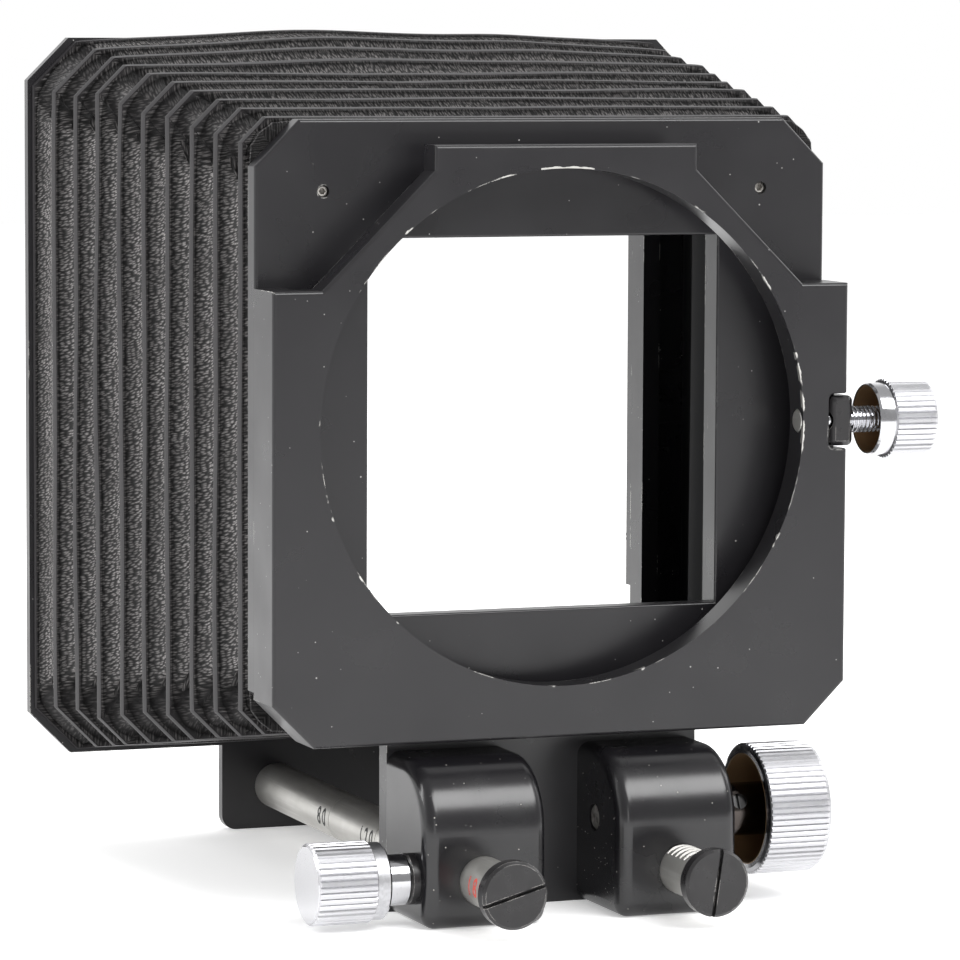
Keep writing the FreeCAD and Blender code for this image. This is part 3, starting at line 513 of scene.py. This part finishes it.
def chrome_knob(node, hub_r=0.0, wall=0.0):
    """Plating for one knob, worked out from its box: darker in the grooves, tarnished brass in the hollow, a
    painted shadow on the hub inside it.
    """
    g = Graph("chrome_" + node)
    low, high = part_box(node)
    rib_r = (high[2] - low[2]) / 2
    base, rough = plating(g)
    metal = 1.0
    radius = g.distance_to_line_x((low[1] + high[1]) / 2, (low[2] + high[2]) / 2)
    ribbed = g.math("GREATER_THAN", radius, rib_r - RIB_HEIGHT)
    rough = g.blend(ribbed, rough, g.remap(g.noise(420, 4), 0.3, 0.75, 0.34, 0.44))
    # the grooves between the ribs are coloured darker
    groove = g.remap(radius, rib_r - GROOVE_DARK_DEPTH[0], rib_r - GROOVE_DARK_DEPTH[1])
    groove_dark = g.product(groove, ribbed, g.remap(g.noise(1300, 3), 0.35, 0.60, 0.05, 0.35))
    base = g.mix(groove_dark, base, GROOVE_DARK)
    before_end = g.math("LESS_THAN", g.x, high[0] - END_WALL)
    if wall:
        inner = g.math("LESS_THAN", radius, rib_r - wall + HOLLOW_GAP)
        off_hub = g.math("GREATER_THAN", radius, hub_r + HUB_GAP)
        behind_mouth = g.math("GREATER_THAN", g.x, low[0] + MOUTH_LIP)
        inside = g.product(inner, off_hub, behind_mouth, before_end)
        base = g.mix(inside, base, g.mix(g.noise(160, 3), HOLLOW, HOLLOW_DARK))
        rough = g.blend(inside, rough, 0.34)
        metal = g.blend(inside, 1.0, 0.45)
    # painted shadow: the hub deep inside the hollow is coloured dark
    if hub_r:
        on_hub = g.product(g.math("LESS_THAN", radius, hub_r + HOLLOW_GAP), before_end)
        base = g.mix(on_hub, base, HUB_SHADOW)
    return finish_plating(g, base, rough, metal)


def brass():
    """Brass with patches of tarnish."""
    g = Graph("brass")
    tarnish = g.remap(g.noise(220, 4), 0.35, 0.7)
    g.set("Base Color", g.mix(tarnish, BRASS, BRASS_DARK))
    g.set("Metallic", 1.0)
    g.set("Roughness", g.remap(g.noise(600, 3), 0.3, 0.7, 0.28, 0.48))
    g.set("Normal", g.bump(g.noise(1800, 2), 0.006 * MM, 0.5))
    return g.material


PEBBLE_SCALE = 2200          # cells per metre, across the rows
PEBBLE_SQUEEZE = 0.52        # under 1 makes the pebbles long along Y
PEBBLE_LEAN = 0.38           # how far a row leans for each unit along Y
PEBBLE_SWAY = 0.6 * MM
PEBBLE_DISORDER = 0.8
PEBBLE_HEIGHT = 0.20 * MM
WRINKLE_HEIGHT = 0.9 * MM
WEAVE_HEIGHT = 0.012 * MM


def leatherette():
    """Black grained covering: smooth ribs and corner folds, pebbled panels with painted highlights on the
    pebbles' tops and painted shade in their creases, painted shade in the pleats' valleys, cloth lining
    inside.
    """
    g = Graph("leatherette")
    rib = g.attribute("rib")
    fold = g.attribute("fold")
    inside = g.attribute("inside")
    shade = g.attribute("shade")
    smooth_part = g.math("MAXIMUM", rib, fold)
    outside = g.math("SUBTRACT", 1.0, inside)
    panel = g.product(g.math("SUBTRACT", 1.0, smooth_part), outside)
    # pebbles are long along Y, in rows that climb slightly towards the lens
    surface = g.tree.nodes.new("ShaderNodeNewGeometry")
    facing = g.tree.nodes.new("ShaderNodeSeparateXYZ")
    g.join(surface.outputs["Normal"], facing.inputs[0])
    sideways = g.math("ABSOLUTE", facing.outputs["X"])
    upwards = g.math("ABSOLUTE", facing.outputs["Z"])
    across = g.blend(g.math("GREATER_THAN", sideways, upwards), g.x, g.z)
    sway = g.product(g.math("SUBTRACT", g.noise(420, 1), 0.5), PEBBLE_SWAY)
    lean = g.product(g.y, PEBBLE_LEAN)
    merged = g.tree.nodes.new("ShaderNodeCombineXYZ")
    g.join(g.math("ADD", g.math("ADD", across, lean), sway), merged.inputs[0])
    g.join(g.product(g.y, PEBBLE_SQUEEZE), merged.inputs[1])
    pebble_cells = g.cells(PEBBLE_SCALE, merged.outputs[0])
    pebble_cells.voronoi_dimensions = "2D"
    pebble_cells.inputs["Randomness"].default_value = PEBBLE_DISORDER
    pebbles = pebble_cells.outputs["Distance"]
    height = g.product(g.remap(pebbles, 0.65, 0.10), panel)
    dusty = g.remap(g.noise(26, 4), 0.35, 0.75)
    base = g.mix(dusty, LEATHER, LEATHER_DUSTY)
    base = g.mix(g.product(smooth_part, 0.7), base, LEATHER_SMOOTH)
    # painted highlight: the pebbles' tops are coloured far paler than the leather
    pebble_highlight = g.product(g.remap(pebbles, 0.44, 0.12), panel, g.remap(g.noise(240, 2), 0.35, 0.65, 0.55, 1.0))
    base = g.mix(pebble_highlight, base, PEBBLE_HIGHLIGHT)
    # painted shade: the creases between pebbles are coloured near black
    crease_shade = g.product(g.remap(pebbles, 0.42, 0.68), panel)
    base = g.mix(crease_shade, base, PEBBLE_CREASE_SHADE)
    base = g.mix(g.product(shade, outside, 0.9), base, VALLEY_SHADE)
    base = g.mix(inside, base, LINING)
    g.set("Base Color", base)
    rough = g.blend(panel, 0.46, g.remap(g.noise(200, 3), 0.3, 0.7, 0.34, 0.46))
    g.set("Roughness", g.blend(inside, rough, 0.8))
    shine = g.blend(rib, 0.5, 0.26)
    g.set("Specular IOR Level", g.blend(g.product(shade, outside), shine, 0.05))
    weave = g.bump(g.noise(2400, 1), WEAVE_HEIGHT, 0.5)
    wrinkled = g.bump(g.product(g.noise(330, 3), fold), WRINKLE_HEIGHT, 0.8, weave)
    g.set("Normal", g.bump(height, PEBBLE_HEIGHT, 1.0, wrinkled))
    return g.material


def ink(name, color):
    """Paint in an engraved numeral, flaked in spots."""
    g = Graph(name)
    worn = g.remap(g.noise(1600, 3), 0.62, 0.72)
    g.set("Base Color", g.mix(g.product(worn, 0.5), color, INK_WORN))
    g.set("Roughness", g.remap(g.noise(800, 2), 0.3, 0.7, 0.45, 0.65))
    g.set("Normal", g.bump(g.noise(2500, 2), 0.004 * MM, 0.5))
    return g.material


def dress_nodes():
    """Give every CAD node but the bellows the finish of its slot; knobs and worn screws have their own."""
    finishes = {
        "black_anodised": black_anodised(),
        "black_gloss": black_gloss(),
        "black_screw": black_screw(),
        "satin_steel": satin_steel(),
        "chrome_plain": chrome_plain(),
        "brass": brass(),
    }
    bare_steel = worn_screw()
    special = {
        "focus_knob": chrome_knob("focus_knob", FOCUS_HUB_R, FOCUS_WALL),
        "clamp_knob": chrome_knob("clamp_knob", 0.0, CLAMP_WALL),
        "lock_knob": chrome_knob("lock_knob"),
        "carrier_screws": bare_steel,
        "pinion_shaft": bare_steel,
    }
    slots = {part["node"]: part["material_slot"] for part in frame["record"]["subparts"]}
    for name, obj in frame["nodes"].items():
        if name == "bellows":
            continue
        finish = special.get(name) or finishes[slots[name]]
        for slot in obj.material_slots:
            slot.material = finish


# ================================================================ bellows
CRESTS = 10
CREST_PITCH = 10.05 * MM
CREST_SHAKE = 0.35 * MM
RIB_WIDTH = 1.7 * MM
RIB_CROWN = -0.03            # depth of a rib's middle, which stands a little proud
FLANK = 0.12 * MM            # how far along Y a rib's flank drops to the skin
REAR_DEPTH = (0.10, 0.11)    # of the first two rings; all depths are shares of PLEAT_DEPTH
FLANK_DEPTH = (0.16, 0.10)   # just before and just after a rib
FLANK_SHADE = (1.0, 0.5)
REAR_SHADE = 0.9
PLEAT_DEPTH = 2.6 * MM
VALLEY_SHAKE = (0.88, 1.12)  # how deep the valleys are, but for the first and the last
REAR_VALLEY = 0.45
FRONT_VALLEY = 0.60
VALLEY_FLATNESS = 0.9        # under 1 the valleys have flatter floors
SHADE_FROM = 0.55            # of the way from one rib to the next, where the painted shade begins
SHADE_CURVE = 1.3
FIRST_FOLD = 0.3 * MM        # the second ring lies this far off the rear end
VALLEY_LEAN = 1.25           # above 1 the valleys are deepest towards the wide end
REAR_HALF = carrier_high[0] - 0.3 * MM
FRONT_HALF = bellows_high[0]
END_DROP = (bellows_high[2] + bellows_low[2]) / 2    # the wide end's middle, from the CAD
CREST_CUT = 8.6 * MM
VALLEY_CUT = 11.0 * MM
CUT_SHAKE = 0.6 * MM
CUT_SWELL = 3.2 * MM         # the ribs' corners are fuller than the front frame's
REAR_SWELL = 1.6 * MM        # and fuller still right behind the carrier plate
REAR_FADE = 6                # that fades over the first sixth of the bellows
FRONT_TAPER = 2.6            # how fast the fullness dies out before the front frame
CUT_SHRINK = 0.586           # 2 - sqrt(2): what a corner cut loses when its ring moves inwards by 1
POCKET_DEPTH = 4.2 * MM      # how far the skin falls in where side and chamfer meet
POCKET_WIDTH = 2.2 * MM
PUFF = 2.0 * MM              # how far a chamfer's middle stands out between two ribs
SKIN = 0.7 * MM
SIDE_STEPS = 48
CUT_STEPS = 12
VALLEY_STEPS = 12
LEFT_SIDE, TOP_SIDE, RIGHT_SIDE = 0, 2, 4    # of a ring's eight stretches; the odd ones are corner cuts
RISE_FROM = 0.45             # share of the length at which the top begins to swell
RISE_LENGTH = 0.45           # and over which it does
ARCH = 0.7                   # mm, the swelling's round part
PLATEAU = 1.05               # mm, its flat part
HUMPS = ((-15, 18, 0.9), (27, 10, 0.35))     # on top of both: x, width and height in mm
RIPPLE_OUT = 0.30 * MM       # waves in and out of a side's face
RIPPLE_ALONG = 0.42 * MM     # waves of the pleats along Y
RIPPLE_SPREAD = 2.9          # radians of a wave across a side
RIPPLE_DRIFT = 9             # radians by which it shifts along the bellows
CUT_GRAIN = 0.35             # share of pebbles on a corner cut
GRAIN_REACH = 2.0 * MM       # from a corner, over which a side's pebbles set in
POCKET_SHADE = 1.3
SHARP_ANGLE = math.radians(34)

Station = namedtuple("Station", "y depth rib shade cut pleat")


def pleat_stations():
    """Rings along the bellows: flat ribs at the crests, rounded valleys between them."""
    shake = random.Random(11)
    start = bellows_low[1]
    end = bellows_high[1]
    crests = [end]
    for i in range(1, CRESTS):
        crests.append(end - CREST_PITCH * i + shake.uniform(-CREST_SHAKE, CREST_SHAKE))
    crests.reverse()
    cuts = [shake.uniform(-CUT_SHAKE, CUT_SHAKE) for _ in range(CRESTS)]
    cuts[-1] = 0.0
    previous = start + FIRST_FOLD
    tucked = CUT_SWELL + REAR_SWELL      # the first ring lies hidden behind the carrier plate's chamfers
    stations = [
        Station(start, REAR_DEPTH[0], 0.0, REAR_SHADE, tucked, 0),
        Station(previous, REAR_DEPTH[1], 0.0, REAR_SHADE, 0.0, 0),
    ]
    for i, y in enumerate(crests):
        first = y - RIB_WIDTH / 2
        last = min(y + RIB_WIDTH / 2, end)
        deep = shake.uniform(*VALLEY_SHAKE)
        if i == 0:
            deep = REAR_VALLEY
        elif i == CRESTS - 1:
            deep = FRONT_VALLEY
        before = cuts[i - 1] if i else 0.0
        for step in range(1, VALLEY_STEPS):
            f = step / VALLEY_STEPS
            depth = deep * math.sin(math.pi * f ** VALLEY_LEAN) ** VALLEY_FLATNESS
            shade = max(0.0, (f - SHADE_FROM) / (1 - SHADE_FROM)) ** SHADE_CURVE
            cut = before + (cuts[i] - before) * f
            stations.append(Station(previous + (first - previous) * f, depth, 0.0, shade, cut, i))
        stations.append(Station(first - FLANK, FLANK_DEPTH[0], 0.0, FLANK_SHADE[0], cuts[i], i))
        stations.append(Station(first, 0.0, 1.0, 0.0, cuts[i], i))
        stations.append(Station(y, RIB_CROWN, 1.0, 0.0, cuts[i], i))
        stations.append(Station(last, 0.0, 1.0, 0.0, cuts[i], i))
        previous = last + FLANK
        if last < end:
            stations.append(Station(previous, FLANK_DEPTH[1], 0.0, FLANK_SHADE[1], cuts[i], i))
    return stations


def ring_points(half, cut):
    """(x, z, stretch, f, reach) round a square with cut corners; reach is the way to the nearest corner."""
    low = half - cut
    corners = [(-half, -low), (-half, low), (-low, half), (low, half),
               (half, low), (half, -low), (low, -half), (-low, -half)]
    points = []
    for i, (x0, z0) in enumerate(corners):
        x1, z1 = corners[(i + 1) % 8]
        length = math.hypot(x1 - x0, z1 - z0)
        steps = CUT_STEPS if i % 2 else SIDE_STEPS
        for step in range(steps):
            f = step / steps
            if i % 2 == 0:
                f = 0.5 - 0.5 * math.cos(math.pi * f)
            points.append((x0 + (x1 - x0) * f, z0 + (z1 - z0) * f, i, f, length * min(f, 1 - f)))
    return points


def top_bulge(x, along, middle):
    """The top swells towards the wide end, in two soft humps."""
    rise = min(1.0, max(0.0, (along - RISE_FROM) / RISE_LENGTH))
    height = ARCH * middle + PLATEAU * middle ** 0.4
    for place, width, size in HUMPS:
        height += size * math.exp(-((x / MM - place) / width) ** 2)
    return height * MM * rise * rise * (3 - 2 * rise)


class BellowsShape:
    """Turns a flat ring point into its place on the worn, slightly wavy skin."""

    def __init__(self):
        shake = random.Random(23)
        self.waves = [[(shake.uniform(0, 2 * math.pi), shake.uniform(0, 2 * math.pi)) for _ in range(8)]
                      for _ in range(3)]
        self.vigour = [[shake.uniform(0.65, 1.35) for _ in range(8)] for _ in range(CRESTS)]
        self.start = bellows_low[1]
        self.length = bellows_high[1] - self.start

    def ripple(self, stretch, f, along, which):
        """Three soft waves, each finer and lower than the one before."""
        total = 0.0
        for order, phases in enumerate(self.waves, 1):
            angle = (order + 0.4) * RIPPLE_SPREAD * f + RIPPLE_DRIFT * along * order
            total += math.sin(angle + phases[stretch][which]) / order
        return total

    def place(self, station, point):
        """Pockets and puffed corners, then a side's ripples and the top's swelling, then the taper's drop."""
        x, z, stretch, f, reach = point
        along = (station.y - self.start) / self.length
        on_side = stretch % 2 == 0
        middle = math.sin(math.pi * f) if on_side else 0.0
        calm = middle ** 0.4 * math.sin(math.pi * along) ** 0.5
        depth = max(station.depth, 0.0)
        vigour = self.vigour[station.pleat][stretch]
        out = -POCKET_DEPTH * vigour * depth * math.exp(-(reach / POCKET_WIDTH) ** 2)
        if not on_side:
            out += PUFF * vigour * depth * math.sin(math.pi * f) ** 2
        distance = math.hypot(x, z)
        place = [x + out * x / distance, station.y, z + out * z / distance]
        if on_side:
            swell = RIPPLE_OUT * self.ripple(stretch, f, along, 0) * calm
            if stretch == TOP_SIDE:
                swell += top_bulge(x, along, middle)
            if stretch in (LEFT_SIDE, RIGHT_SIDE):
                place[0] += math.copysign(swell, x)
            else:
                place[2] += math.copysign(swell, z)
            place[1] += RIPPLE_ALONG * self.ripple(stretch, f, along, 1) * calm
        place[2] += END_DROP * along
        return place


def ring_size(station, along, layer):
    """A ring's half width and corner cut, on the outer skin (layer 0) or the lining (layer 1)."""
    depth = max(station.depth, 0.0)
    half = REAR_HALF + (FRONT_HALF - REAR_HALF) * along - PLEAT_DEPTH * station.depth - SKIN * layer
    rear = REAR_SWELL * max(0.0, 1 - REAR_FADE * along)
    fuller = min(CUT_SWELL + rear, FRONT_TAPER * CUT_SWELL * (1 - along))
    cut = CREST_CUT - fuller + (VALLEY_CUT - CREST_CUT) * depth + station.cut - CUT_SHRINK * SKIN * layer
    return half, cut


def skin_faces(rows):
    """Quads of the outer skin and the lining, row by row, and the two rims that join them."""
    count = 4 * (SIDE_STEPS + CUT_STEPS)
    inner = rows * count
    last = (rows - 1) * count
    faces = []
    for i in range(count):
        j = (i + 1) % count
        for row in range(rows - 1):
            a = row * count + i
            b = row * count + j
            faces.append((a + count, b + count, b, a))
            faces.append((inner + a, inner + b, inner + b + count, inner + a + count))
        faces.append((i, j, j + inner, i + inner))
        faces.append((last + i + inner, last + j + inner, last + j, last + i))
    return faces


def make_bellows_mesh():
    """Outer skin and lining joined at both ends, with masks for ribs, folds, shade and the inside."""
    shape = BellowsShape()
    vertices = []
    masks = {"rib": [], "fold": [], "inside": [], "shade": []}
    stations = pleat_stations()
    for layer in (0, 1):
        for station in stations:
            along = (station.y - shape.start) / shape.length
            dark = min(1.0, POCKET_SHADE * max(station.depth, 0.0))
            for point in ring_points(*ring_size(station, along, layer)):
                vertices.append(shape.place(station, point))
                stretch, reach = point[2], point[4]
                grained = CUT_GRAIN if stretch % 2 else min(1.0, reach / GRAIN_REACH)
                pocket = dark * math.exp(-(reach / POCKET_WIDTH) ** 2)
                masks["rib"].append(station.rib)
                masks["fold"].append(0.0 if station.rib else 1.0 - grained)
                masks["inside"].append(float(layer))
                masks["shade"].append(max(pocket, station.shade))
    mesh = bpy.data.meshes.new("bellows_skin")
    mesh.from_pydata(vertices, [], skin_faces(len(stations)))
    for name, values in masks.items():
        attribute = mesh.attributes.new(name, "FLOAT", "POINT")
        attribute.data.foreach_set("value", np.array(values, dtype=np.float32))
    mesh.shade_smooth()
    mesh.set_sharp_from_angle(angle=SHARP_ANGLE)
    return mesh


def make_bellows():
    """The pleated skin in place of the CAD tube, stretched evenly between the two standards."""
    mesh = make_bellows_mesh()
    mesh.materials.append(leatherette())
    skin = bpy.data.objects.new("bellows_skin", mesh)
    bpy.context.scene.collection.objects.link(skin)
    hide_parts("bellows")
    start = bellows_low[1]
    length = bellows_high[1] - start
    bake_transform(skin, "lens_standard", "front_standard", start=(0, start, 0), end=(0, start + length, 0))
    places = np.empty(len(mesh.vertices) * 3, dtype=np.float32)
    mesh.vertices.foreach_get("co", places)
    share = np.clip((places[1::3] - start) / length, 0, 1)
    mesh.attributes["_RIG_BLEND"].data.foreach_set("value", share.astype(np.float32))


# ================================================================ scale numbers
ROD_X = (rod_low[0] + rod_high[0]) / 2
ROD_Z = (rod_low[2] + rod_high[2]) / 2
ROD_R = (rod_high[0] - rod_low[0]) / 2
DIGIT_HEIGHT = 3.4 * MM
DIGIT_PITCH = 2.85 * MM
DIGIT_TURN = math.radians(176)       # about the rod, from +X: the digits face the left side
CAP_SHARE = 0.70             # a digit's height as a share of the font's size
DIGIT_BOLD = 0.09 * MM
DIGIT_NARROW = 0.8
INK_LIFT = 0.03 * MM         # above the rod's surface
OUTLINE_STEPS = 6
SPLITS = 2                   # times that the flat digit's edges are halved before it is bent


def make_digit(name, digit, y, material):
    """One engraved digit wrapped round the rod; its foot points down and its right side towards the cap."""
    text = bpy.data.curves.new(name, "FONT")
    text.body = digit
    text.size = DIGIT_HEIGHT / CAP_SHARE
    text.align_x = "CENTER"
    text.offset = DIGIT_BOLD
    text.resolution_u = OUTLINE_STEPS
    carrier = bpy.data.objects.new(name + "_text", text)
    bpy.context.scene.collection.objects.link(carrier)
    flat = bpy.data.meshes.new_from_object(carrier.evaluated_get(bpy.context.evaluated_depsgraph_get()))
    bpy.data.objects.remove(carrier)
    cage = bmesh.new()
    cage.from_mesh(flat)
    bmesh.ops.triangulate(cage, faces=cage.faces[:])
    for _ in range(SPLITS):
        bmesh.ops.subdivide_edges(cage, edges=cage.edges[:], cuts=1)
    bmesh.ops.triangulate(cage, faces=cage.faces[:])
    for vertex in cage.verts:
        across, up = vertex.co.x, vertex.co.y
        angle = DIGIT_TURN - (up - DIGIT_HEIGHT / 2) / ROD_R
        radius = ROD_R + INK_LIFT
        along = y - DIGIT_NARROW * across
        vertex.co = (ROD_X + radius * math.cos(angle), along, ROD_Z + radius * math.sin(angle))
    mesh = bpy.data.meshes.new(name)
    cage.to_mesh(mesh)
    cage.free()
    mesh.materials.append(material)
    piece = bpy.data.objects.new(name, mesh)
    bpy.context.scene.collection.objects.link(piece)
    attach(piece, "front_standard")


def make_numbers():
    """The rod's scale: each label starts at y, in mm, and reads towards the lens."""
    black = ink("ink_black", INK_BLACK)
    red = ink("ink_red", INK_RED)
    marks = (("80", 69.2, black), ("120", 44.4, black), ("180", -14.6, red))
    for label, y, material in marks:
        for i, digit in enumerate(label):
            make_digit("numeral_%s_%d" % (label, i), digit, y * MM - i * DIGIT_PITCH, material)


# ================================================================ everything
make_camera()
make_floor()
make_world()
make_lights()
dress_nodes()
make_bellows()
make_numbers()
bpy.context.scene.view_settings.view_transform = "Standard"
